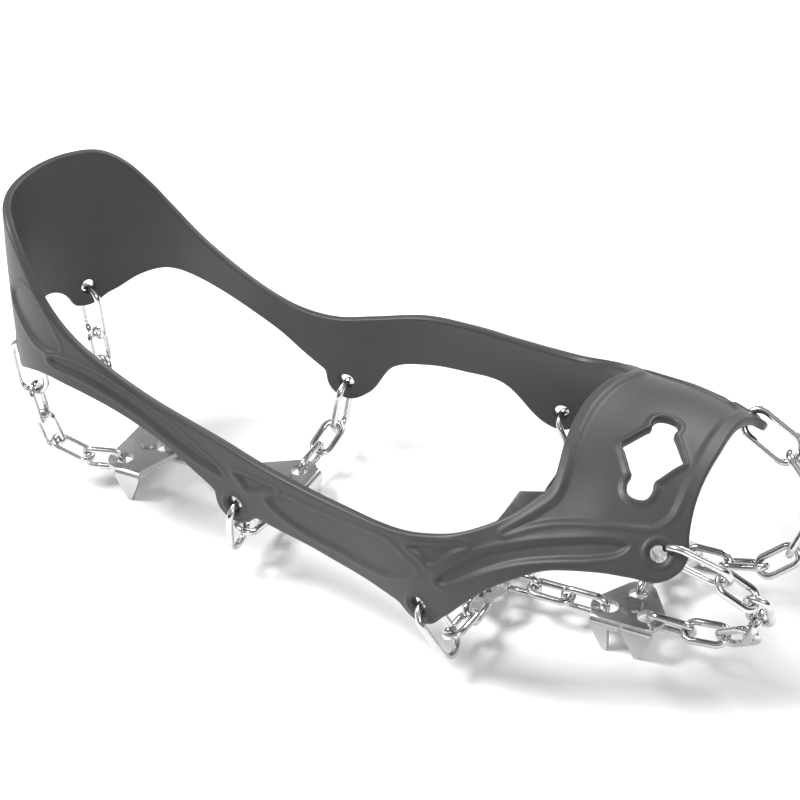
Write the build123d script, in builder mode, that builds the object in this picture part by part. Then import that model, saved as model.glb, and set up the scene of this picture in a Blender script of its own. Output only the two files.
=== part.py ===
from build123d import *
from math import cos, sin, asin, sqrt, radians, degrees, pi
import os

# Slip-on chain crampon for a right shoe, in millimetres, in its worn shape.
# +X is the toe, +Y the wearer's left and +Z up. A stretchy rubber harness runs from
# a tall heel tab along both sides of the shoe to a panel over the toes. Steel chains
# hang from its eight lugs and hold six toothed steel plates flat under the sole.

# --- driving dimensions: plates and the ground ---
plate_t = 2.0            # sheet thickness of a spike plate
tooth_drop = 11.0        # from the plate's underside to the tip of a tooth
tooth_base = 10.0        # width of a tooth at the bend
tooth_tip = 1.2          # width of the blunted tip
bend_r = 1.6             # middle radius of the bend between plate and tooth
plate_rim = 3.0          # sheet left round each chain hole
plate_hole_r = 3.2       # chain hole in a plate
rib_r = 4.0              # pressed dome in the middle of a plate
rib_h = 0.8
front_hole_step = 5.0    # from a ball plate's side holes to the hole of its lengthwise chain
rear_hole_step = 10.0    # the same on the rear heel plate
tooth_space = 1.2        # between two teeth side by side
tooth_lead = 1.0         # how far a tooth's face stands outside the sheet round a hole
sole_gap = 2.0           # from a plate's top to the sole that it carries

# --- driving dimensions: chain ---
wire = 2.5               # diameter of the link wire
link_l = 17.5            # outer length of a link
link_w = 9.5             # outer width of a link
hook_l = 24.0            # outer length of the first link, which goes through a lug
hook_side_gap = 2.5      # play inside the first link, on each side of the rubber
link_gap = 0.35          # play between two links that pull on each other
hole_gap = 1.0           # play between a link and the wall of a plate's hole
lug_gap = 1.0            # play between a hook link and the wall of a lug's hole

# --- driving dimensions: the shoe that the harness is stretched over ---
waist_z = 15.0           # height over the sole of the shoe's widest line
heel_x = -106.0          # centre of the round heel
last_sections = [        # x, half width and height over the widest line
    (heel_x, 42.0, 200.0),
    (-75.0, 41.0, 150.0),
    (-43.4, 41.5, 110.0),
    (0.0, 49.0, 82.0),
    (34.2, 59.0, 62.0),
    (60.0, 62.0, 50.0),
    (75.0, 62.5, 47.5),
    (90.0, 61.0, 46.5),
    (107.6, 55.5, 44.0),
    (124.0, 46.0, 41.0),
]

# --- driving dimensions: harness ---
band_t = 3.0             # thickness of the rubber
eyelet_r = 3.2           # hole in a lug
lug_r = 8.0              # round end of a lug
panel_rear_x = 67.0      # rear edge of the toe panel
panel_front_x = 109.0    # front edge of the toe panel on the middle line
panel_corner_y = 49.5    # where that edge meets the front of the toe lugs
lug_front_x = 117.0      # front edge of the toe lugs
side_front_x = 62.0      # where the side bands pass into the toe panel
side_rear_x = -80.0      # where the side bands pass into the heel cup
inner_rise = 18.0        # how much higher the band rides on the inner side of the foot
rise_x = -5.0            # middle of that rise
rise_reach = 60.0        # half of its length
tab_top_z = 104.0        # top of the heel tab over the sole
heel_arch_r = 15.0       # arch in the lower edge between the two heel lugs
heel_arch_drop = 10.0    # from the heel lugs' holes down to the arch's middle
toe_eye = (107.6, 45.1)  # x and height over the sole of each lug's hole
ball_eye = (34.2, 13.9)
arch_eye = (-43.4, 18.1)
heel_eye_z = 47.5
heel_eye_turn = 30.0     # degrees from the rear, round the heel
cutout_x = 94.5          # middle of the diamond cut-out
cutout_y = -12.0
cutout_half_l = 17.5     # from the middle to each keyhole end
cutout_half_w = 10.5     # from the middle to each side corner
keyhole_r = 4.0
cutout_turn = 94.0       # degrees from +X to the long diagonal

# --- driving dimensions: where the chains lead ---
toe_plate_y = 18.0       # front hole of a toe plate, from the middle line
ball_plate_x = 37.0      # inner hole of a ball plate
ball_hole_x = 43.0       # its outer hole, which the side chain pulls forward
arch_plate_x = -47.0     # outer holes of the front heel plate
heel_lead = 15.0         # degrees that the heel chains turn inwards
toe_chain = [153.0, 136.0, 92.0, 70.0, 40.0]  # slope of each link but the last two
ball_chain = [82.0]
arch_chain = [80.0]
heel_chain = [88.0, 84.0, 76.0]
steepest_closing = 80.0  # the most that the link before the plate may slope

# --- heights that follow ---
plate_z = tooth_drop + plate_t / 2
sole_z = tooth_drop + plate_t + sole_gap
hook_w = band_t + 2 * hook_side_gap + 2 * wire
link_r = (link_w - wire) / 2
hook_r = (hook_w - wire) / 2
link_c = link_l - wire
hook_c = hook_l - wire
eyelet_play = eyelet_r - wire / 2 - lug_gap
plate_play = plate_hole_r - wire / 2 - hole_gap
beyond = 500.0           # reach of the shapes that trim the harness

pieces = {}


def keep(name, part):
    """Store a finished piece under its name."""
    part.label = name
    pieces[name] = part


# ---------------------------------------------------------------- rubber harness
# It is made over a sole at height 0, and lifted onto the plates when its pieces are kept.
def last(inset):
    """The shoe's surface as a closed solid, drawn in by an inset."""
    with BuildPart() as form:
        for x, half_w, height in last_sections:
            with BuildSketch(Plane(origin=(x, 0, waist_z), x_dir=(0, 1, 0), z_dir=(1, 0, 0))):
                Ellipse(half_w - inset, height - inset)
        loft(ruled=True)
        with BuildSketch(Plane.XZ):
            with Locations((heel_x, waist_z)):
                Ellipse(last_sections[0][1] - inset, last_sections[0][2] - inset)
                Rectangle(beyond, beyond, align=(Align.MAX, Align.CENTER), mode=Mode.SUBTRACT)
        revolve(axis=Axis((heel_x, 0, 0), (0, 0, 1)), revolution_arc=360)
    return form.part


def on_last(x, z, side):
    """The middle of the rubber at x and height z over the sole, and its outward normal."""
    at = [s[0] for s in last_sections].index(x)
    half_w, height = (v - band_t / 2 for v in last_sections[at][1:])
    up = (z - waist_z) / height
    out = sqrt(1 - up * up)
    near, far = last_sections[max(at - 1, 0)], last_sections[min(at + 1, len(last_sections) - 1)]
    slope = -(far[1] - near[1]) / (far[0] - near[0]) * out / half_w
    normal = Vector(slope, side * out / half_w, up / height).normalized()
    return Vector(x, side * half_w * out, z), normal


def eyelets(side):
    """The middle and outward normal of each of the four lug holes on one side."""
    turn = radians(heel_eye_turn)
    up = (heel_eye_z - waist_z) / (last_sections[0][2] - band_t / 2)
    reach = (last_sections[0][1] - band_t / 2) * sqrt(1 - up * up)
    out = Vector(-cos(turn), side * sin(turn), 0)
    heel = Vector(heel_x, 0, heel_eye_z) + out * reach
    return {
        "toe": on_last(*toe_eye, side),
        "ball": on_last(*ball_eye, side),
        "arch": on_last(*arch_eye, side),
        "heel": (heel, out),
    }


def rise(x, side):
    """How much the band is lifted on the inner side of the foot, at x."""
    reach = (x - rise_x) / rise_reach
    return inner_rise * cos(pi / 2 * reach) ** 2 if side > 0 and abs(reach) < 1 else 0.0


def upper_edge(side):
    """Side view of the band's upper edge, from the heel tab to the panel."""
    tab = [(heel_x - 44, tab_top_z), (heel_x - 37, tab_top_z), (heel_x - 22, tab_top_z - 4),
           (heel_x - 11, 84), (heel_x + 4, 66)]
    points = tab + [(side_rear_x, 53.5), (-55, 44.5), (-30, 36.5), (-5, 34), (18, 35.5), (36, 40.5),
                    (52, 47), (panel_rear_x, 51)]
    return [(x, z + rise(x, side)) for x, z in points]


def lower_edge(side):
    """Side view of the band's lower edge, from the front of the panel to the heel."""
    toe_x, toe_z = toe_eye
    ball_x, ball_z = ball_eye
    arch_x, arch_z = arch_eye
    front = [(lug_front_x, toe_z), (toe_x, toe_z - 5), (96, 40.8), (80, 41), (66, 35.5), (54, 26),
             (ball_x + 9, ball_z), (ball_x, ball_z - 5), (ball_x - 9, ball_z - 2)]
    waist = [(10, 12), (-8, 12.5), (-24, 13)]
    rear = [(arch_x + 9, arch_z - 3), (arch_x, arch_z - 5), (arch_x - 9, arch_z + 3), (-62, 26.5),
            (-75, 35), (heel_x + 14, heel_eye_z - 5.5), (heel_x - 6, heel_eye_z + 0.5),
            (heel_x - 22, heel_eye_z - 3.5), (heel_x - 34, heel_eye_z - 6), (heel_x - 44, heel_eye_z - 6)]
    spread = [(x, z + rise(x, side)) for x, z in waist]
    return front + spread + rear


shell = last(0) - last(band_t)


def harness_half(side):
    """The rubber on one side of the middle line, trimmed to the harness's outline."""
    upper = upper_edge(side)
    lower = lower_edge(side)
    top = (panel_rear_x, beyond)
    front_top = (lug_front_x, top[1])
    with BuildPart() as outline:
        with BuildSketch(Plane.XZ):
            with BuildLine():
                Spline(*upper)
                Polyline(upper[-1], top, front_top, lower[0])
                Spline(*lower)
                Line(lower[-1], upper[0])
            make_face()
        extrude(amount=-side * beyond)
        for middle, normal in eyelets(side).values():
            with Locations(Plane(origin=middle, z_dir=normal)):
                Cylinder(lug_r, 4 * band_t)
    return shell & outline.part


with BuildPart() as harness:
    add(harness_half(-1))
    add(harness_half(1))
    # concave front edge of the toe panel, between the two toe lugs
    with BuildSketch():
        with BuildLine():
            edge = ThreePointArc((lug_front_x, -panel_corner_y), (panel_front_x, 0), (lug_front_x, panel_corner_y))
            Polyline(edge @ 1, (beyond, panel_corner_y), (beyond, -panel_corner_y), edge @ 0)
        make_face()
    extrude(amount=beyond, mode=Mode.SUBTRACT)
    # diamond cut-out with a keyhole at each end of its long diagonal
    with BuildSketch(Plane(origin=(cutout_x, cutout_y, waist_z)).rotated((0, 0, cutout_turn))):
        Polygon((-cutout_half_l, 0), (0, -cutout_half_w), (cutout_half_l, 0), (0, cutout_half_w), align=None)
        with Locations((-cutout_half_l + keyhole_r, 0), (cutout_half_l - keyhole_r, 0)):
            Circle(keyhole_r)
    extrude(amount=beyond, mode=Mode.SUBTRACT)
    # arch in the lower edge behind the heel
    with Locations(Location((heel_x, 0, heel_eye_z - heel_arch_drop), (0, 90, 0))):
        Cylinder(heel_arch_r, beyond, align=(Align.CENTER, Align.CENTER, Align.MAX), mode=Mode.SUBTRACT)
    # a hole through each lug
    for side in (-1, 1):
        for middle, normal in eyelets(side).values():
            with Locations(Plane(origin=middle, z_dir=normal)):
                Cylinder(eyelet_r, 4 * band_t, mode=Mode.SUBTRACT)


def slice_of(part, x_from, x_to, y_from=-beyond, y_to=beyond):
    """The part of the harness within a box of any height, lifted onto the plates."""
    with BuildPart() as piece:
        add(part)
        with Locations(((x_from + x_to) / 2, (y_from + y_to) / 2, 0)):
            Box(x_to - x_from, y_to - y_from, 2 * beyond, mode=Mode.INTERSECT)
    return piece.part.moved(Location((0, 0, sole_z)))


keep("toe_panel", slice_of(harness.part, side_front_x, beyond))
keep("right_side_band", slice_of(harness.part, side_rear_x, side_front_x, y_to=0))
keep("left_side_band", slice_of(harness.part, side_rear_x, side_front_x, y_from=0))
keep("heel_cup", slice_of(harness.part, -beyond, side_rear_x))

# ---------------------------------------------------------------- chain links
joint_axes = {}


def link(name, middle, along, flat, length=link_c, radius=link_r):
    """A chain link: its wire runs round a racetrack in the plane whose normal is flat."""
    half = length / 2 - radius
    plane = Plane(origin=middle, x_dir=along, z_dir=flat)
    with BuildPart() as piece:
        with BuildLine(plane):
            side = Line((-half, radius), (half, radius))
            crown = ThreePointArc((half, radius), (half + radius, 0), (half, -radius))
            Line((half, -radius), (-half, -radius))
            ThreePointArc((-half, -radius), (-half - radius, 0), (-half, radius))
        with BuildSketch(Plane(origin=side @ 0, z_dir=side % 0)):
            Circle(wire / 2)
        sweep()
    keep(name, piece.part)
    joint_axes[name] = (middle, along)


def side_chain(name, eye, along, target, slopes):
    """Hang a chain from a lug's hole, round the edge of the sole to a plate's hole.

    The chain lies in the plane through the eye that holds the direction along, in which
    its last link pulls at the plate. Each bend is round the crown of an edge-on link.
    Returns the middle of the plate's hole.
    """
    fall = target - eye
    fall = fall - along * fall.dot(along)
    depth = fall.length
    down = fall.normalized()
    flat = along.cross(down)
    count = len(slopes) + 2
    radii = [hook_r] + [link_r] * (count - 1)
    lengths = [hook_c] + [link_c] * (count - 1)
    hang = [r - wire - link_gap for r in radii]
    runs = []
    for i in range(count):
        if i % 2:
            runs.append(lengths[i] + hang[i - 1] + hang[i + 1])
        else:
            runs.append(lengths[i] - 2 * radii[i])
    first = eyelet_play + hook_r + runs[0]
    sines = [sin(radians(s)) for s in slopes]
    fallen = sum(run * s for run, s in zip([first] + runs[1:], sines))
    # links too long for the fall lie flatter, so that the link before the plate can close it
    ease = min(1.0, (depth + runs[-2] * sin(radians(steepest_closing))) / fallen)
    eased = [degrees(asin(ease * sine)) for sine in sines]
    turns = [180 - e if s > 90 else e for s, e in zip(slopes, eased)]
    turns += [degrees(asin((depth - ease * fallen) / runs[-2])), 0.0]
    at = eye
    for i, slope in enumerate(turns):
        pull = along * cos(radians(slope)) + down * sin(radians(slope))
        if i == 0:
            at = at + pull * (eyelet_play + hook_r)
        if i % 2:
            middle = at + pull * (lengths[i] / 2 + hang[i - 1])
            link(f"{name}_link_{i + 1}", middle, pull, flat.cross(pull))
        else:
            middle = at + pull * (runs[i] / 2)
            link(f"{name}_link_{i + 1}", middle, pull, flat, lengths[i], radii[i])
        at = at + pull * runs[i]
    return at + along * (link_r + plate_play)


def straight_chain(name, hole, along, count):
    """Run a chain under the sole from one plate's hole; returns the far hole."""
    pitch = link_c - wire - link_gap
    across = along.cross(Vector(0, 0, 1))
    for i in range(count):
        middle = hole + along * (plate_play + link_c / 2 + i * pitch)
        number = f"_link_{i + 1}" if count > 1 else "_link"
        link(name + number, middle, along, Vector(0, 0, 1) if i % 2 else across)
    return hole + along * (2 * plate_play + link_c + (count - 1) * pitch)


# ---------------------------------------------------------------- spike plates
lobe_r = plate_hole_r + plate_rim
tooth_out = lobe_r + tooth_lead
tooth_half_pitch = (tooth_base + tooth_space) / 2


def plate(name, holes, teeth):
    """A spike plate: sheet round its chain holes, with teeth bent down at its edges.

    holes are the middles of the chain holes. Each tooth is the x and y of its outer
    face's middle, and the direction in which that face looks, in degrees from +X.
    """
    half_t = plate_t / 2
    back = bend_r + half_t
    centre = sum(holes, Vector()) / len(holes)
    with BuildPart() as piece:
        with BuildSketch(Plane.XY.offset(plate_z - half_t)):
            with BuildLine():
                for hole in holes:
                    CenterArc((hole.X, hole.Y), lobe_r, 0, 360)
                for x, y, facing in teeth:
                    root = Plane(origin=(x, y, 0)).rotated((0, 0, facing))
                    ends = [root.from_local_coords(Vector(-back, w * tooth_base / 2, 0)) for w in (-1, 1)]
                    Line(*[(end.X, end.Y) for end in ends])
            make_hull()
        extrude(amount=plate_t)
        with BuildSketch(Plane.XY.offset(plate_z + half_t)):
            with Locations((centre.X, centre.Y)):
                Circle(rib_r)
        extrude(amount=rib_h, taper=30)
        for x, y, facing in teeth:
            edge = Plane(origin=(x, y, plate_z)).rotated((0, 0, facing))
            side_view = Plane(origin=edge.origin, x_dir=edge.x_dir, z_dir=-edge.y_dir)
            with BuildSketch(side_view):
                with BuildLine():
                    flat = Line((-back - 2, 0), (-back, 0))
                    bend = JernArc(flat @ 1, flat % 1, bend_r, -90)
                    Line(bend @ 1, (bend @ 1) + (bend % 1) * (plate_z - bend_r))
                trace(line_width=plate_t)
            extrude(amount=tooth_base / 2, both=True)
            # trim the strip to a blunt triangle that ends on the ground
            front_view = Plane(origin=(x, y, 0), x_dir=edge.y_dir, z_dir=edge.x_dir)
            shoulder = plate_z - back
            for w in (-1, 1):
                with BuildSketch(front_view):
                    Polygon((w * tooth_tip / 2, 0), (w * tooth_base / 2, shoulder), (w * tooth_base, shoulder),
                            (w * tooth_base, -plate_z), (w * tooth_tip / 2, -plate_z), align=None)
                extrude(amount=plate_t + 0.5, both=True, mode=Mode.SUBTRACT)
        for hole in holes:
            with Locations((hole.X, hole.Y, plate_z)):
                Cylinder(plate_hole_r, 4 * plate_t, mode=Mode.SUBTRACT)
    keep(name, piece.part)


def inward(side):
    """The direction from one side of the shoe towards its middle line."""
    return Vector(0, -side, 0)


forward = Vector(1, 0, 0)
sides = {"right": -1, "left": 1}
inner_y = plate_play + link_c / 2
holes = {}

for word, side in sides.items():
    eye = {place: middle + Vector(0, 0, sole_z) for place, (middle, normal) in eyelets(side).items()}
    toe_front = side_chain(f"{word}_toe_chain", eye["toe"], -forward,
                           Vector(0, side * toe_plate_y, plate_z), toe_chain)
    ball_outer = side_chain(f"{word}_ball_chain", eye["ball"], inward(side),
                            Vector(ball_hole_x, 0, plate_z), ball_chain)
    ball_front = Vector(ball_plate_x + front_hole_step, side * toe_plate_y, plate_z)
    toe_rear = straight_chain(f"{word}_forefoot_chain", ball_front, forward, 3)
    toe_inner = Vector((toe_front.X + toe_rear.X) / 2, side * inner_y, plate_z)
    ball_inner = Vector(ball_plate_x, side * inner_y, plate_z)
    outer_y = side * (toe_plate_y + tooth_out)
    plate(f"{word}_toe_plate", [toe_front, toe_rear, toe_inner],
          [(toe_inner.X + step, outer_y, side * 90) for step in (-tooth_half_pitch, tooth_half_pitch)])
    middle_y = (ball_outer.Y + ball_inner.Y) / 2
    plate(f"{word}_ball_plate", [ball_outer, ball_inner, ball_front],
          [(ball_inner.X - tooth_out, middle_y + step, 180) for step in (-tooth_half_pitch, tooth_half_pitch)])
    lead = forward.rotate(Axis.Z, -side * heel_lead)
    arch_outer = side_chain(f"{word}_arch_chain", eye["arch"], inward(side),
                            Vector(arch_plate_x, 0, plate_z), arch_chain)
    heel_rear = side_chain(f"{word}_heel_chain", eye["heel"], lead,
                           Vector(eye["heel"].X, eye["heel"].Y, plate_z), heel_chain)
    holes[word] = {"toe_front": toe_front, "toe_rear": toe_rear, "toe_inner": toe_inner, "ball_outer": ball_outer,
                   "ball_inner": ball_inner, "ball_front": ball_front, "arch": arch_outer, "heel": heel_rear}

right, left = holes["right"], holes["left"]
straight_chain("toe_cross", right["toe_inner"], Vector(0, 1, 0), 1)
straight_chain("ball_cross", right["ball_inner"], Vector(0, 1, 0), 1)
rear_front = Vector(right["heel"].X + rear_hole_step, 0, plate_z)
arch_rear = straight_chain("heel_chain", rear_front, forward, 3)
plate("front_heel_plate", [right["arch"], left["arch"], arch_rear],
      [(right["arch"].X + tooth_out, step, 0) for step in (-tooth_half_pitch, tooth_half_pitch)])
heel_tooth_x = (right["heel"].X + rear_front.X) / 2
heel_tooth_y = left["heel"].Y + tooth_out
plate("rear_heel_plate", [right["heel"], left["heel"], rear_front],
      [(heel_tooth_x, side * heel_tooth_y, side * 90) for side in (-1, 1)])

# ---------------------------------------------------------------- origin and files
# The origin is the middle of the footprint, on the ground under the teeth.
boxes = [part.bounding_box() for part in pieces.values()]
middle_x = (min(box.min.X for box in boxes) + max(box.max.X for box in boxes)) / 2
os.makedirs("parts", exist_ok=True)
for name, part in pieces.items():
    placed = part.moved(Location((-middle_x, 0, 0)))
    placed.label = name
    export_step(placed, f"parts/{name}.step")
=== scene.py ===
import math
import bpy
import numpy as np
from mathutils import Matrix, Vector


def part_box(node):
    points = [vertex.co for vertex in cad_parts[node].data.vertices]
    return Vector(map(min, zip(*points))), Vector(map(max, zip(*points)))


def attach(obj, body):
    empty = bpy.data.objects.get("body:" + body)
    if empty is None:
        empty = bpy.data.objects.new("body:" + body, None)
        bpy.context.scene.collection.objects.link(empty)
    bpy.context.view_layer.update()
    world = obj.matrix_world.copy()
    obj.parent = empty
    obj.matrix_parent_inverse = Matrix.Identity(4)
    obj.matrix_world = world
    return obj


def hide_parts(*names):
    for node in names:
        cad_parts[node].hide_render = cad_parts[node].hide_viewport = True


# Slip-on chain crampon. The steel comes from the frame. The rubber harness is one moulded
# piece built here, over the same shoe form that the frame's rubber follows.
#
# The shoe form is in millimetres, x along the shoe and z over the sole. The harness is drawn
# in a chart of that form: u is x, and goes on round the heel behind HEEL_X, and v is the
# length up the section from the waist, scaled so that the toe's crest is one row of the
# chart. Side is -1 for the outer side of this right shoe, and 1 for the inner side.

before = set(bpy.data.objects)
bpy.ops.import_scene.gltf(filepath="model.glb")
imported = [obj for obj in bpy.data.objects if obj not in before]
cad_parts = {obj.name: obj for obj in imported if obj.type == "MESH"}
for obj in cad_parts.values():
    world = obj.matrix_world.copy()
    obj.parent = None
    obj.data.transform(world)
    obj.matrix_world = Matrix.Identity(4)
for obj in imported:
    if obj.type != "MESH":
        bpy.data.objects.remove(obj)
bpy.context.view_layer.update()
MM = 0.001

# --- the shoe form ---
SIDE_FRONT = 62.0                   # x of the side bands' front edge
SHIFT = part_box("right_side_band")[1].x / MM - SIDE_FRONT
SOLE = 15.0                         # height of the sole over the floor
WAIST = 15.0                        # height over the sole where each section is widest
HEEL_X, HEEL_R = -106.0, 42.0       # middle and radius of the round heel
SECTIONS = np.array([               # x, half width, height of the crest over the waist
    (HEEL_X, HEEL_R, 200.0), (-75.0, 41.0, 150.0), (-43.4, 41.5, 110.0), (0.0, 49.0, 82.0),
    (34.2, 59.0, 62.0), (60.0, 62.0, 50.0), (75.0, 62.5, 47.5), (90.0, 61.0, 46.5),
    (107.6, 55.5, 44.0), (124.0, 46.0, 41.0)])
TURNS = np.linspace(-0.55, math.pi / 2, 500)    # angles round a section, from below the waist
CREST_X = 75.0                      # the section whose crest sets the chart's crest row
SCALE_FROM, SCALE_TO = 30.0, 60.0   # the chart's v turns from true to scaled between these
CREST_FROM = 40.0                   # ahead of this the two sides meet along the crest

# --- the rubber ---
RUBBER_T = 3.0
EYELET_R, LUG_R, LUG_FILLET = 2.7, 8.0, 3.0
LUG_DEPTH = 12.0                    # how far a lug's round shape reaches along its normal
EYELETS = ((107.6, 45.1), (34.2, 13.9), (-43.4, 18.1), (HEEL_X - HEEL_R * math.pi / 3, 47.5))
RISE, RISE_X, RISE_REACH = 18.0, -5.0, 60.0     # the inner band rides higher at the waist
ARCH_FROM, ARCH_Z, ARCH_R = -130.0, 37.5, 15.0  # round notch under the back of the heel
CUT_X, CUT_Y, CUT_L, CUT_W = 94.5, -12.0, 17.5, 10.5    # middle and half sizes of the diamond
KEY_R, CUT_TURN = 4.0, 94.0         # its keyhole ends' radius, and its slant in degrees
BEAD, LIP = 0.28, 0.5               # heights of the beads and of the lips round the openings
EYELET_LIP, CUT_LIP = 2.6, 2.4      # widths of those lips

# --- the mesh ---
STEP = 0.62
U_REAR, U_FRONT = HEEL_X - HEEL_R * math.pi / 2, 118.5
V_BELOW, V_ABOVE = 16, 97
PAST, WELL_PAST = 6.0, 18.0         # how far an outline runs on beyond the crest
FAR, OUT_OF_REACH, OUTSIDE = 1e9, 99.0, -5.0
SNAP_REACH, LEAST_SLOPE = 0.33 * STEP, 0.2      # grid points this near the edge move onto it
ON_MIDDLE = 1e-6
EDGE_R, INNER_EDGE_R = 1.1, 0.6
RINGS = ([(EDGE_R * math.sin(a), EDGE_R * (1 - math.cos(a)))
          for a in (math.pi / 6, math.pi / 3, math.pi / 2)]
         + [(EDGE_R - INNER_EDGE_R * (1 - math.cos(a)),
             RUBBER_T - INNER_EDGE_R * (1 - math.sin(a)))
            for a in (0, math.pi / 4, math.pi / 2)])


def hermite(x, column):
    """A smooth curve through one column of SECTIONS, level at the heel."""
    xs, ys = SECTIONS[:, 0], SECTIONS[:, column]
    slopes = np.zeros(len(xs))
    slopes[1:-1] = (ys[2:] - ys[:-2]) / (xs[2:] - xs[:-2])
    slopes[-1] = (ys[-1] - ys[-2]) / (xs[-1] - xs[-2])
    x = np.clip(x, xs[0], xs[-1])
    i = np.clip(np.searchsorted(xs, x) - 1, 0, len(xs) - 2)
    span = xs[i + 1] - xs[i]
    t = (x - xs[i]) / span
    return ((2 * t ** 3 - 3 * t ** 2 + 1) * ys[i]
            + (t ** 3 - 2 * t ** 2 + t) * span * slopes[i]
            + (3 * t ** 2 - 2 * t ** 3) * ys[i + 1] + (t ** 3 - t ** 2) * span * slopes[i + 1])


def smooth(x, low, high):
    t = np.clip((x - low) / (high - low), 0.0, 1.0)
    return t * t * (3 - 2 * t)


def arc_table(u):
    """Length up the section at u, from the waist, at each of TURNS."""
    w, h = hermite(u, 1), hermite(u, 2)
    speed = np.sqrt((w * np.sin(TURNS)) ** 2 + (h * np.cos(TURNS)) ** 2)
    arc = np.concatenate([[0], np.cumsum((speed[1:] + speed[:-1]) / 2 * np.diff(TURNS))])
    return arc - np.interp(0.0, TURNS, arc)


CREST = arc_table(CREST_X)[-1]


def stretch(u):
    """How many times longer than the chart's v the length on the shoe form is."""
    w = float(smooth(u, SCALE_FROM, SCALE_TO))
    return 1 - w + w * arc_table(u)[-1] / CREST


def chart(u, turn):
    return u, float(np.interp(turn, TURNS, arc_table(u))) / stretch(u)


def at_z(u, z):
    """The chart's point at u and a height over the sole."""
    return chart(u, math.asin(min(1.0, max(-1.0, (z - WAIST) / float(hermite(u, 2))))))


def at_y(u, y):
    """The chart's point at u and a distance from the middle line, on the upper side."""
    return chart(u, math.acos(min(1.0, y / float(hermite(u, 1)))))


def past_crest(u, over=PAST):
    return u, CREST + over


def riding(side):
    """at_z for points that ride up with the side's band."""
    def at(u, z):
        reach = (u - RISE_X) / RISE_REACH
        if side > 0 and abs(reach) < 1:
            z += RISE * math.cos(math.pi / 2 * reach) ** 2
        return at_z(u, z)
    return at


def surface(u, turn, side):
    """Points on the shoe form."""
    w, h = hermite(u, 1), hermite(u, 2)
    round_heel = np.maximum(HEEL_X - u, 0.0) / HEEL_R
    x = np.where(u < HEEL_X, HEEL_X - w * np.cos(turn) * np.sin(round_heel), u)
    y = side * w * np.cos(turn) * np.cos(round_heel)
    return np.stack([x, y, WAIST + h * np.sin(turn)], axis=-1)


# --- closed curves, and distances to them ---
def curve(points, steps=8):
    """Catmull-Rom loop through listed points."""
    p = np.array(points, dtype=float)
    n = len(p)
    out = []
    for i in range(n):
        a, b, c, d = p[(i - 1) % n], p[i], p[(i + 1) % n], p[(i + 2) % n]
        for k in range(steps):
            t = k / steps
            out.append(0.5 * (2 * b + (c - a) * t + (2 * a - 5 * b + 4 * c - d) * t ** 2
                              + (3 * b - a - 3 * c + d) * t ** 3))
    return np.array(out)


def distance(loop, q):
    """Distance from points q to a loop, positive inside it."""
    best = np.full(len(q), FAR)
    inside = np.zeros(len(q), dtype=bool)
    for a, b in zip(loop, np.roll(loop, -1, axis=0)):
        edge = b - a
        size = edge @ edge
        if size < 1e-12:
            continue
        t = np.clip(((q - a) @ edge) / size, 0, 1)
        gap = q - a - t[:, None] * edge
        best = np.minimum(best, np.einsum("ij,ij->i", gap, gap))
        if a[1] != b[1]:
            crosses = (a[1] > q[:, 1]) != (b[1] > q[:, 1])
            meets = (b[0] - a[0]) * (q[:, 1] - a[1]) / (b[1] - a[1]) + a[0]
            inside ^= crosses & (q[:, 0] < meets)
    best = np.sqrt(best)
    return np.where(inside, best, -best)


def either(a, b, blend):
    """Union of two signed distances with a filleted corner."""
    k = np.clip(0.5 + 0.5 * (a - b) / blend, 0, 1)
    return b + (a - b) * k + blend * k * (1 - k)


# --- the harness's edges, through listed points ---
def outline(side):
    r = riding(side)
    lower = [at_z(115.4, 44.2), at_z(114.0, 41.0), at_z(109.0, 38.6), at_z(101.0, 39.6),
             at_z(91.0, 40.2), at_z(77.0, 38.6), at_z(67.0, 34.2), at_z(58.0, 28.2),
             at_z(50.0, 20.0), at_z(43.0, 12.5), at_z(34.2, 9.5), at_z(25.5, 10.6),
             r(14, 11.6), r(1, 12.0), r(-12, 13.2), r(-25, 14.0), at_z(-34.4, 15.0),
             at_z(-43.4, 14.5), at_z(-51.5, 21.0), at_z(-60, 27.2), at_z(-69, 34.0),
             at_z(-81, 40.5), at_z(-93, 45.6), at_z(-106, 49.5), at_z(-117, 50.8),
             at_z(-128, 48.0), at_z(-139, 43.0), at_z(-150, 41.5), at_z(-170, 41.5),
             at_z(-190, 41.5), at_z(-210, 41.5)]
    upper = [at_z(-210, 104), at_z(-190, 104), at_z(-175, 104), at_z(-164, 104),
             at_z(-150, 103.6), at_z(-137, 101.8), at_z(-127, 96.0), at_z(-118, 86.5),
             at_z(-110, 77.0), at_z(-98, 65.5), at_z(-80, 54.3), r(-63, 47.0), r(-46, 41.4),
             r(-30, 37.4), r(-10, 35.3), r(8, 35.2), r(22, 36.6), r(34, 39.2), r(45, 42.2),
             r(54, 45.8), at_z(61.5, 49.4), at_z(67, 53.2), at_y(69.6, 33.5),
             at_y(69.2, 27.0), at_y(67.8, 19.0), at_y(66.8, 9.0), at_y(66.4, 0.0),
             past_crest(66.4), past_crest(66.4, WELL_PAST)]
    front = [past_crest(112.6, WELL_PAST), past_crest(112.6), at_y(112.6, 0.0),
             at_y(112.4, 9.0), at_y(112.4, 17.0), at_y(112.9, 24.0), at_y(113.8, 30.0),
             at_y(115.0, 35.0)]
    return curve(lower + upper + front)


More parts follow.
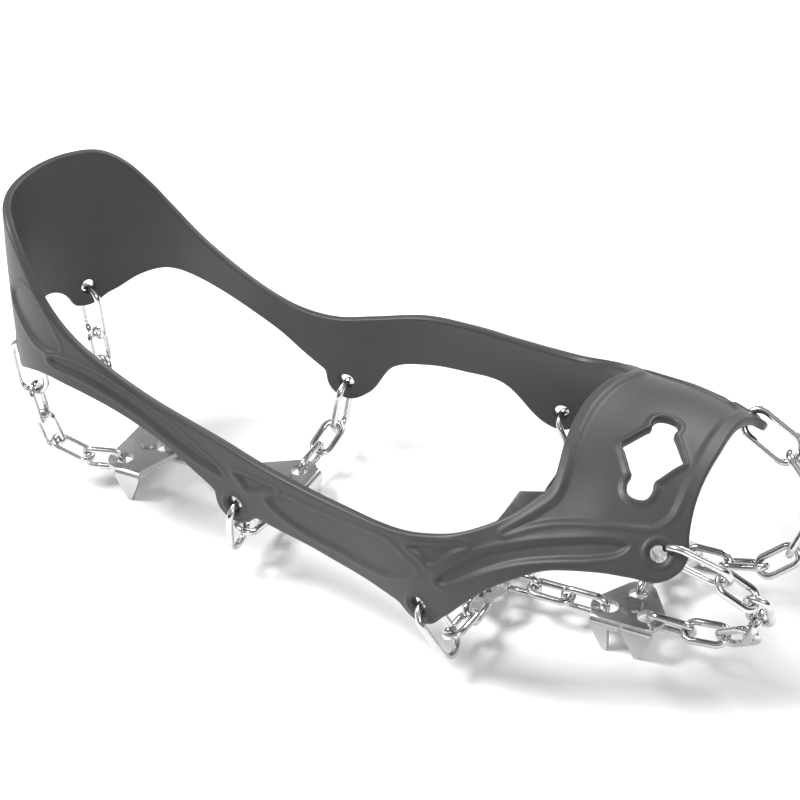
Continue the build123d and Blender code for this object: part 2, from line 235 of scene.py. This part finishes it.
def cutout_line():
    """Edge of the diamond cut-out in plan: two keyhole ends, and soft corners between."""
    half = [(CUT_L, 0), (CUT_L - 0.9, KEY_R * 0.72), (CUT_L - KEY_R, KEY_R),
            (CUT_L - 7.0, 3.6), (CUT_L - 9.0, 4.8), (3.2, CUT_W - 2.6), (0, CUT_W - 0.8),
            (-3.2, CUT_W - 2.6), (-CUT_L + 9.0, 4.8), (-CUT_L + 7.0, 3.6),
            (-CUT_L + KEY_R, KEY_R), (-CUT_L + 0.9, KEY_R * 0.72)]
    loop = half + [(-x, -y) for x, y in half]
    turn = math.radians(CUT_TURN)
    c, s = math.cos(turn), math.sin(turn)
    return curve([(CUT_X + x * c - y * s, CUT_Y + x * s + y * c) for x, y in loop])


def eyelet_frames(side):
    """Middle and outward normal of each lug's hole on the shoe form."""
    out = []
    for u, z in EYELETS:
        turn = math.asin((z - WAIST) / float(hermite(u, 2)))
        h = 0.01
        p = surface(np.array([u, u + h, u]), np.array([turn, turn, turn + h]), side)
        normal = np.cross(p[1] - p[0], p[2] - p[0]) * -side
        out.append((p[0], normal / np.linalg.norm(normal)))
    return out


def relief(side):
    """The sunk fields, each as its edge in the chart and its depth."""
    r = riding(side)
    heel_groove = [r(-112, 60.5), r(-101, 60.0), r(-90, 56.2), r(-78, 50.6), r(-66, 43.6),
                   r(-56, 36.4), r(-46.5, 29.0), r(-56, 31.6), r(-66, 37.0), r(-76, 43.4),
                   r(-88, 50.0), r(-101, 55.0), r(-112, 57.0)]
    heel_pocket = [at_z(-136, 76), at_z(-131, 80.5), at_z(-123, 83.8), at_z(-116, 80.5),
                   at_z(-110.5, 72), at_z(-107.4, 64.5), at_z(-111, 61.4), at_z(-120, 63.0),
                   at_z(-129, 68.2), at_z(-135, 72.2)]
    arch_triangle = [r(-42, 32), r(-33, 31.6), r(-24, 31.2), r(-30, 29), r(-37, 26.6),
                     r(-39.5, 29.2)]
    ball_triangle = [r(30, 34.4), r(40, 37.6), r(50, 40.0), r(45, 36.2), r(39, 30.6),
                     r(34.5, 32.6)]
    waist_taper = [r(-29, 25.2), r(-24, 29.4), r(-10, 29.4), r(0, 29.8), r(12, 31),
                   r(21, 32), r(28, 29.6), r(33.6, 26.6), r(27, 22.4), r(21, 19.6),
                   r(12, 18.2), r(0, 18.4), r(-11, 18.8), r(-21, 20.8)]
    ball_to_toe = [at_z(41.4, 27.4), at_z(48, 34.0), at_z(57, 39.8), at_z(71, 44.2),
                   at_z(84, 46.6), at_z(93, 47.3), at_z(98.4, 46.6), at_z(96, 44.4),
                   at_z(88, 43.0), at_z(78, 41.4), at_z(67, 38.6), at_z(57, 34.0),
                   at_z(48, 28.0), at_z(43.5, 25.6)]
    toe_panel = [past_crest(107.6, WELL_PAST), past_crest(107.6), at_y(107.6, 0),
                 at_y(107.8, 15), at_y(108, 25), at_y(107.4, 30.5), at_y(104, 35),
                 at_z(99, 50.2), at_z(88, 50.4), at_z(78, 49.6), at_z(69, 47.8),
                 at_z(61, 44.8), at_z(62.5, 46.0), at_z(68, 49.6), at_y(72.8, 38),
                 at_y(73.6, 33), at_y(72.8, 26), at_y(71.6, 18), at_y(70.7, 8),
                 at_y(70.4, 0), past_crest(70.4), past_crest(70.4, WELL_PAST)]
    return [(heel_groove, 0.9), (heel_pocket, 1.1), (arch_triangle, 0.8),
            (ball_triangle, 0.8), (waist_taper, 0.8), (ball_to_toe, 1.0), (toe_panel, 0.7)]


# --- the moulded mesh ---
US = np.linspace(U_REAR, U_FRONT, int((U_FRONT - U_REAR) / STEP))
CREST_ROW = int(CREST / STEP)
DU, DV = US[1] - US[0], CREST / CREST_ROW
FIRST_ROW = -int(V_BELOW / DV)
VS = np.arange(FIRST_ROW, int(V_ABOVE / DV)) * DV
TABLES = np.array([arc_table(u) for u in US])
STRETCHES = np.array([stretch(u) for u in US])


def turn_at(q):
    """The section's turn at chart points, read between the columns' arc tables."""
    f = (q[:, 0] - US[0]) / DU
    i = np.clip(f.astype(int), 0, len(US) - 2)
    w = np.clip(f - i, 0, 1)
    length = q[:, 1] * (STRETCHES[i] * (1 - w) + STRETCHES[i + 1] * w)
    out = np.empty(len(q))
    for k in np.unique(i):
        sel = i == k
        rear = np.interp(length[sel], TABLES[k], TURNS)
        ahead = np.interp(length[sel], TABLES[k + 1], TURNS)
        out[sel] = rear * (1 - w[sel]) + ahead * w[sel]
    out[(np.abs(q[:, 1] - CREST) < 1e-9) & (q[:, 0] > CREST_FROM)] = math.pi / 2
    return out


def frame_at(q, side):
    """Points of the shoe form and outward normals at chart points."""
    turn = turn_at(q)
    h = 0.02
    step_u = surface(q[:, 0] + h, turn, side) - surface(q[:, 0] - h, turn, side)
    step_t = surface(q[:, 0], turn + h, side) - surface(q[:, 0], turn - h, side)
    normal = np.cross(step_u, step_t) * -side
    return surface(q[:, 0], turn, side), normal / np.linalg.norm(normal, axis=1)[:, None]


def region_of(side):
    """A function giving chart points' distances inside all edges, to the eyelets, to the cut."""
    edge, diamond, lugs = outline(side), cutout_line(), eyelet_frames(side)

    def region(q):
        p = surface(q[:, 0], turn_at(q), side)
        d = distance(edge, q)
        holes = np.full(len(q), FAR)
        for middle, normal in lugs:
            away = p - middle
            along = away @ normal
            off = np.sqrt(np.maximum(np.einsum("ij,ij->i", away, away) - along ** 2, 0))
            off = np.where(np.abs(along) < LUG_DEPTH, off, OUT_OF_REACH)
            d = either(d, LUG_R - off, LUG_FILLET)
            holes = np.minimum(holes, off - EYELET_R)
        notch = np.sqrt(p[:, 1] ** 2 + (p[:, 2] - ARCH_Z) ** 2) - ARCH_R
        d = np.where(q[:, 0] < ARCH_FROM, np.minimum(d, notch), d)
        near = (q[:, 0] > 60) & (q[:, 1] > 20)
        cut = np.full(len(q), OUT_OF_REACH)
        cut[near] = -distance(diamond, p[near, :2])
        return np.minimum(np.minimum(d, holes), cut), holes, cut

    return region


def only_used(faces, count):
    """The points that faces use, and the faces renumbered to them."""
    used = np.unique(np.concatenate([np.array(f) for f in faces]))
    renumber = np.full(count, -1)
    renumber[used] = np.arange(len(used))
    return used, [tuple(int(renumber[k]) for k in f) for f in faces]


def trim(q, s, quads):
    """The parts of the quads where s is above zero, with new points where it is zero."""
    sign = s[quads]
    whole = (sign >= 0).all(axis=1) & (sign > 0).any(axis=1)
    split = (sign > 0).any(axis=1) & (sign < 0).any(axis=1)
    faces = [tuple(f) for f in quads[whole]]
    extra, made = [], {}
    for quad in quads[split]:
        loop = []
        for k in range(4):
            m, n = int(quad[k]), int(quad[(k + 1) % 4])
            if s[m] >= 0:
                loop.append(m)
            if s[m] * s[n] < 0:
                key = (min(m, n), max(m, n))
                if key not in made:
                    t = s[key[0]] / (s[key[0]] - s[key[1]])
                    made[key] = len(q) + len(extra)
                    extra.append(q[key[0]] * (1 - t) + q[key[1]] * t)
                loop.append(made[key])
        if len(loop) > 2:
            faces.append(tuple(loop))
    q = np.concatenate([q, np.array(extra).reshape(-1, 2)])
    s = np.concatenate([s, np.zeros(len(extra))])
    used, faces = only_used(faces, len(q))
    return q[used], s[used], faces


def rim_rings(q, s, on_middle, region, side):
    """Rings that round the edge: out from the trimmed sheet, over the wall and back in."""
    rings = np.zeros((len(q), len(RINGS), 3))
    rim = np.nonzero(s == 0)[0]
    flat = on_middle[rim]
    e = 0.05
    grad = np.stack([(region(q[rim] + d)[0] - region(q[rim] - d)[0]) / (2 * e)
                     for d in (np.array([e, 0]), np.array([0, e]))], axis=-1)
    grad[flat & (q[rim, 0] > CREST_FROM), 1] = 0
    grad[flat & (q[rim, 0] < HEEL_X), 0] = 0
    grad /= np.maximum(np.linalg.norm(grad, axis=1), 1e-6)[:, None]
    for k, (out, depth) in enumerate(RINGS):
        at, away = frame_at(q[rim] - grad * out, side)
        at[flat, 1] = 0
        rings[rim, k] = at - away * depth
    return rings


def relief_height(q, s, region, side):
    """Height over the sheet: sunk fields with a bead outside, and lips round the openings."""
    _, holes, cut = region(q)
    height = np.zeros(len(q))
    for points, depth in relief(side):
        d = distance(curve(points), q)
        height -= depth * smooth(d, -0.1, 1.1)
        height += BEAD * smooth(d, -2.2, -1.2) * smooth(-d, 0.0, 0.7)
    height += LIP * smooth(EYELET_LIP - holes, 0.0, 0.8)
    height += LIP * smooth(CUT_LIP - cut, 0.0, 0.8)
    height[s == 0] = 0
    return height


def half_harness(side):
    """One side's sheet, trimmed to its edges: points, normals, heights, rings, faces."""
    region = region_of(side)
    gu, gv = np.meshgrid(US, VS, indexing="ij")
    q = np.stack([gu.ravel(), gv.ravel()], axis=-1)
    s = region(q)[0] - EDGE_R
    nu, nv = gu.shape
    column, row = np.repeat(np.arange(nu), nv), np.tile(np.arange(nv), nu) + FIRST_ROW
    toe = q[:, 0] > CREST_FROM
    over = (row > CREST_ROW) & toe
    s[over] = OUTSIDE

    # move the grid's points near the edge onto it; those on the middle plane stay on it
    slope_u, slope_v = np.gradient(s.reshape(nu, nv), DU, DV)
    g = np.stack([slope_u.ravel(), slope_v.ravel()], axis=-1)
    g[(row == CREST_ROW) & toe, 1] = 0
    g[column == 0, 0] = 0
    size = np.einsum("ij,ij->i", g, g)
    snap = (np.abs(s) < SNAP_REACH) & (size > LEAST_SLOPE) & ~over
    q[snap] -= (s[snap] / size[snap])[:, None] * g[snap]
    s[snap] = 0.0

    index = np.arange(nu * nv).reshape(nu, nv)
    quads = np.stack([index[:-1, :-1].ravel(), index[1:, :-1].ravel(),
                      index[1:, 1:].ravel(), index[:-1, 1:].ravel()], axis=-1)
    q, s, faces = trim(q, s, quads[~over[quads].any(axis=1)])

    p, normal = frame_at(q, side)
    on_middle = np.abs(p[:, 1]) < ON_MIDDLE
    p[on_middle, 1] = 0
    normal[on_middle, 1] = 0
    normal /= np.linalg.norm(normal, axis=1)[:, None]
    rings = rim_rings(q, s, on_middle, region, side)
    height = relief_height(q, s, region, side)
    return p, normal, height, rings, faces if side < 0 else [f[::-1] for f in faces]


def harness_mesh():
    """The two halves welded, with the inner sheet and the rounded walls between."""
    parts, faces, count = [], [], 0
    for side in (-1, 1):
        *arrays, half = half_harness(side)
        parts.append(arrays)
        faces += [tuple(k + count for k in face) for face in half]
        count += len(arrays[0])
    p, n, h, rings = (np.concatenate(column) for column in zip(*parts))

    keys, weld = {}, np.arange(len(p))
    for i in np.nonzero(np.abs(p[:, 1]) < ON_MIDDLE)[0]:
        weld[i] = keys.setdefault((round(p[i, 0], 2), round(p[i, 2], 2)), i)
    used, faces = only_used([tuple(int(weld[k]) for k in f) for f in faces], len(p))
    p, n, h, rings = p[used], n[used], h[used], rings[used]

    total = len(p)
    one_way = {(f[k], f[(k + 1) % len(f)]) for f in faces for k in range(len(f))}
    rim = [(a, b) for a, b in one_way if (b, a) not in one_way]
    on_rim = sorted({a for edge in rim for a in edge})
    place = {a: 2 * total + k for k, a in enumerate(on_rim)}
    walls = []
    for a, b in sorted(rim):
        pairs = [(a, b)]
        for k in range(len(RINGS)):
            pairs.append((place[a] + k * len(on_rim), place[b] + k * len(on_rim)))
        pairs.append((a + total, b + total))
        walls += [(low[1], low[0], high[0], high[1]) for low, high in zip(pairs, pairs[1:])]
    inside = [tuple(k + total for k in reversed(f)) for f in faces]
    verts = np.concatenate([p + n * h[:, None], p - n * RUBBER_T]
                           + [rings[on_rim, k] for k in range(len(RINGS))])
    return (verts + np.array([SHIFT, 0, SOLE])) * MM, faces + inside + walls


verts, polys = harness_mesh()
mesh = bpy.data.meshes.new("rubber_harness")
mesh.from_pydata([tuple(v) for v in verts], [], polys)
mesh.validate()
mesh.update()
mesh.shade_smooth()
harness = bpy.data.objects.new("rubber_harness", mesh)
bpy.context.scene.collection.objects.link(harness)
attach(harness, "harness")
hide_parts("toe_panel", "right_side_band", "left_side_band", "heel_cup")


# --- materials ---
def material(name):
    m = bpy.data.materials.new(name)
    m.use_nodes = True
    return m, m.node_tree, m.node_tree.nodes["Principled BSDF"]


def noise(tree, scale, detail=4.0, rough=0.5):
    coords = tree.nodes.new("ShaderNodeTexCoord")
    tex = tree.nodes.new("ShaderNodeTexNoise")
    tex.inputs["Scale"].default_value = scale
    tex.inputs["Detail"].default_value = detail
    tex.inputs["Roughness"].default_value = rough
    tree.links.new(coords.outputs["Object"], tex.inputs["Vector"])
    return tex.outputs["Fac"]


def colour_ramp(tree, source, low, high, start, end):
    """A colour between start and end as source goes from low to high."""
    node = tree.nodes.new("ShaderNodeMapRange")
    node.data_type = "FLOAT_VECTOR"
    node.inputs[7].default_value = (low,) * 3
    node.inputs[8].default_value = (high,) * 3
    node.inputs[9].default_value = start
    node.inputs[10].default_value = end
    tree.links.new(source, node.inputs[6])
    return node.outputs[1]


def value_ramp(tree, source, low, high, start, end):
    """A value between start and end as source goes from low to high."""
    node = tree.nodes.new("ShaderNodeMapRange")
    for k, v in enumerate((low, high, start, end)):
        node.inputs[k + 1].default_value = v
    tree.links.new(source, node.inputs[0])
    return node.outputs[0]


def bump(tree, shader, source, strength, depth):
    node = tree.nodes.new("ShaderNodeBump")
    node.inputs["Strength"].default_value = strength
    node.inputs["Distance"].default_value = depth
    tree.links.new(source, node.inputs["Height"])
    tree.links.new(node.outputs["Normal"], shader.inputs["Normal"])


def coat(name, cloud, span, colours, roughness, grain, strength, depth, metallic=0.0):
    """A material whose colour and roughness drift with a cloud, under a bump of fine grain."""
    made, tree, shader = material(name)
    drift = noise(tree, *cloud)
    tree.links.new(colour_ramp(tree, drift, *span, *colours), shader.inputs["Base Color"])
    tree.links.new(value_ramp(tree, drift, *span, *roughness), shader.inputs["Roughness"])
    shader.inputs["Metallic"].default_value = metallic
    bump(tree, shader, noise(tree, *grain), strength, depth)
    return made


rubber = coat("rubber", cloud=(28.0, 5.0, 0.6), span=(0.3, 0.7),
              colours=((0.034, 0.033, 0.034), (0.048, 0.047, 0.048)), roughness=(0.44, 0.54),
              grain=(2600.0, 3.0, 0.6), strength=0.25, depth=0.0001)
link_steel = coat("polished_steel", cloud=(160.0, 3.0, 0.5), span=(0.35, 0.65),
                  colours=((0.60, 0.60, 0.60), (0.70, 0.70, 0.69)), roughness=(0.13, 0.22),
                  grain=(900.0, 3.0, 0.6), strength=0.12, depth=0.00006, metallic=1.0)
plate_steel = coat("plate_steel", cloud=(90.0, 4.0, 0.6), span=(0.3, 0.7),
                   colours=((0.50, 0.50, 0.50), (0.60, 0.60, 0.59)), roughness=(0.24, 0.36),
                   grain=(700.0, 4.0, 0.65), strength=0.2, depth=0.00008, metallic=1.0)

harness.data.materials.append(rubber)
for name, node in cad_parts.items():
    if "link" in name or "plate" in name:
        node.data.materials.clear()
        node.data.materials.append(plate_steel if name.endswith("plate") else link_steel)

# --- floor ---
FLOOR_REACH = 4.0
floor_mesh = bpy.data.meshes.new("floor")
floor_mesh.from_pydata([(x * FLOOR_REACH, y * FLOOR_REACH, 0)
                        for x, y in ((-1, -1), (1, -1), (1, 1), (-1, 1))], [], [(0, 1, 2, 3)])
floor = bpy.data.objects.new("floor", floor_mesh)
bpy.context.scene.collection.objects.link(floor)
pale, tree, shader = material("floor")
tree.links.new(colour_ramp(tree, noise(tree, 3.0, 2.0), 0.3, 0.7, (0.86,) * 3, (0.88,) * 3),
               shader.inputs["Base Color"])
shader.inputs["Roughness"].default_value = 0.9
floor_mesh.materials.append(pale)

# --- light ---
WORLD_STRENGTH = 0.5
world = bpy.data.worlds.new("studio")
bpy.context.scene.world = world
world.use_nodes = True
world.node_tree.nodes["Background"].inputs[0].default_value = (1, 1, 1, 1)
world.node_tree.nodes["Background"].inputs[1].default_value = WORLD_STRENGTH
bpy.context.scene.view_settings.view_transform = "Standard"


def softbox(name, place, aim, width, height, power):
    light = bpy.data.lights.new(name, "AREA")
    light.shape = "RECTANGLE"
    light.size, light.size_y = width, height
    light.energy = power
    lamp = bpy.data.objects.new(name, light)
    lamp.location = place
    lamp.rotation_euler = (Vector(aim) - Vector(place)).to_track_quat("-Z", "Y").to_euler()
    bpy.context.scene.collection.objects.link(lamp)


softbox("key", (-0.7, -0.3, 1.2), aim=(0, 0, 0.03), width=0.45, height=0.45, power=24)
softbox("fill", (1.1, -0.9, 0.9), aim=(0, 0, 0.03), width=0.6, height=0.4, power=4)
softbox("back", (0.3, 1.2, 1.0), aim=(0, 0, 0.05), width=0.9, height=0.4, power=14)


def dark_card(name, corners):
    """A black card that only the gloss of the steel and rubber sees."""
    card_mesh = bpy.data.meshes.new(name)
    card_mesh.from_pydata(corners, [], [(0, 1, 2, 3)])
    card_mesh.materials.append(black)
    card = bpy.data.objects.new(name, card_mesh)
    card.visible_camera = card.visible_diffuse = card.visible_shadow = False
    bpy.context.scene.collection.objects.link(card)


def upright(y, low, high):
    """Corners of a card along x."""
    return [(-1.0, y, low), (1.0, y, low), (1.0, y, high), (-1.0, y, high)]


black, tree, shader = material("card")
shader.inputs["Base Color"].default_value = (0.01, 0.01, 0.01, 1)
shader.inputs["Roughness"].default_value = 1.0
dark_card("card_front", upright(-1.1, 0.05, 0.42))
dark_card("card_back", upright(1.1, 0.05, 0.42))
dark_card("card_toe", [(1.1, -0.8, 0.05), (1.1, 0.8, 0.05), (1.1, 0.8, 0.5), (1.1, -0.8, 0.5)])
dark_card("card_top", [(-0.3, 0.1, 1.3), (0.5, 0.1, 1.3), (0.5, 0.35, 1.3), (-0.3, 0.35, 1.3)])

# --- camera ---
AZ, EL, ROLL = (math.radians(a) for a in (28.934, 35.537, -3.569))
TARGET_Z, DISTANCE = 35.0, 0.6586   # millimetres over the sole, and metres from the target
LENS, SHIFT_X, SHIFT_Y = 87.445, -0.00195, 0.0333
back = Vector((math.sin(AZ) * math.cos(EL), -math.cos(AZ) * math.cos(EL), math.sin(EL)))
right = (-back).cross(Vector((0, 0, 1))).normalized()
up = right.cross(-back)
cam_right = right * math.cos(ROLL) + up * math.sin(ROLL)
cam_up = up * math.cos(ROLL) - right * math.sin(ROLL)
place = Vector((SHIFT, 0, SOLE + TARGET_Z)) * MM + back * DISTANCE
camera = bpy.data.cameras.new("camera")
camera.lens = LENS
camera.shift_x, camera.shift_y = SHIFT_X, SHIFT_Y
view = bpy.data.objects.new("camera", camera)
view.matrix_world = Matrix(((cam_right.x, cam_up.x, back.x, place.x),
                            (cam_right.y, cam_up.y, back.y, place.y),
                            (cam_right.z, cam_up.z, back.z, place.z), (0, 0, 0, 1)))
bpy.context.scene.collection.objects.link(view)
bpy.context.scene.camera = view
